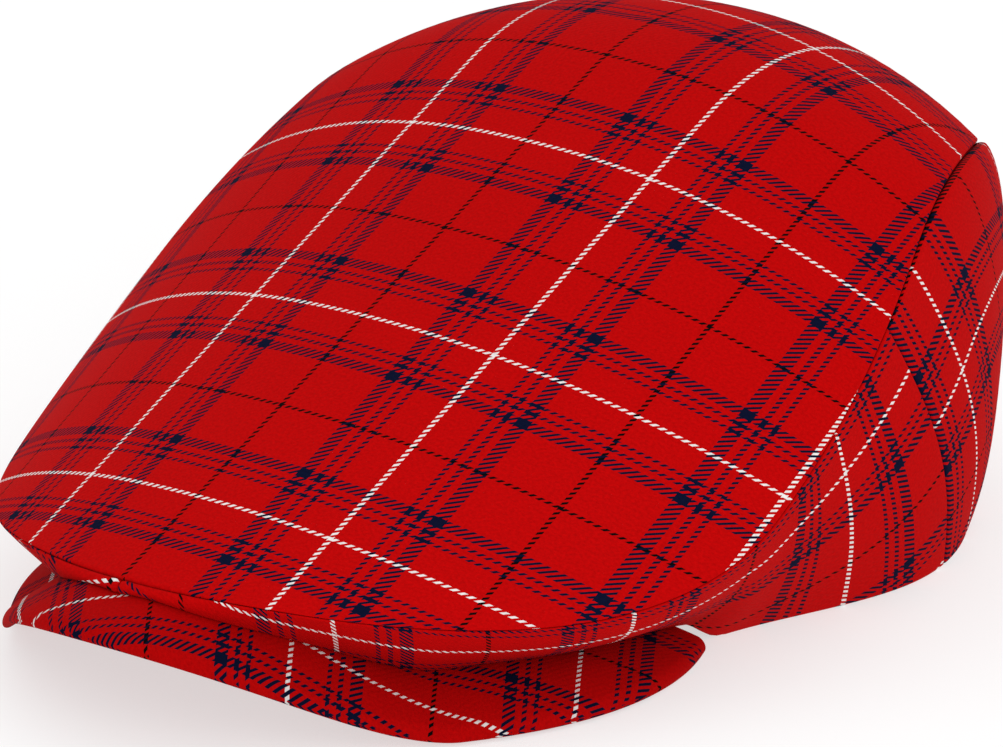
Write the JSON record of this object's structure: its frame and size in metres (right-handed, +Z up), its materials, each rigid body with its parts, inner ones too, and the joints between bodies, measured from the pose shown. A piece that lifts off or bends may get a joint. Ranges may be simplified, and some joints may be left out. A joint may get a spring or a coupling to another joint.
{
  "type": "flat cap",
  "caption": "Flat cap in checked wool cloth: a long top panel drawn forward over a short stiff peak, two side panels and a back panel.",
  "frame": {"origin": "middle of the bounding box seen from above, at the height of the hem, which stands on z = 0", "axes": "+Z up, the peak points towards -Y, the back of the cap towards +Y, the wearer's left towards +X"},
  "size_m": [0.2006, 0.2889, 0.1181],
  "materials": {
    "checked_wool": "matt twill weave in a red, navy, black and white check"
  },
  "bodies": {
    "root": {"top_panel": "checked_wool", "side_panel_left": "checked_wool", "side_panel_right": "checked_wool", "back_panel": "checked_wool", "peak": "checked_wool"}
  },
  "joints": []
}
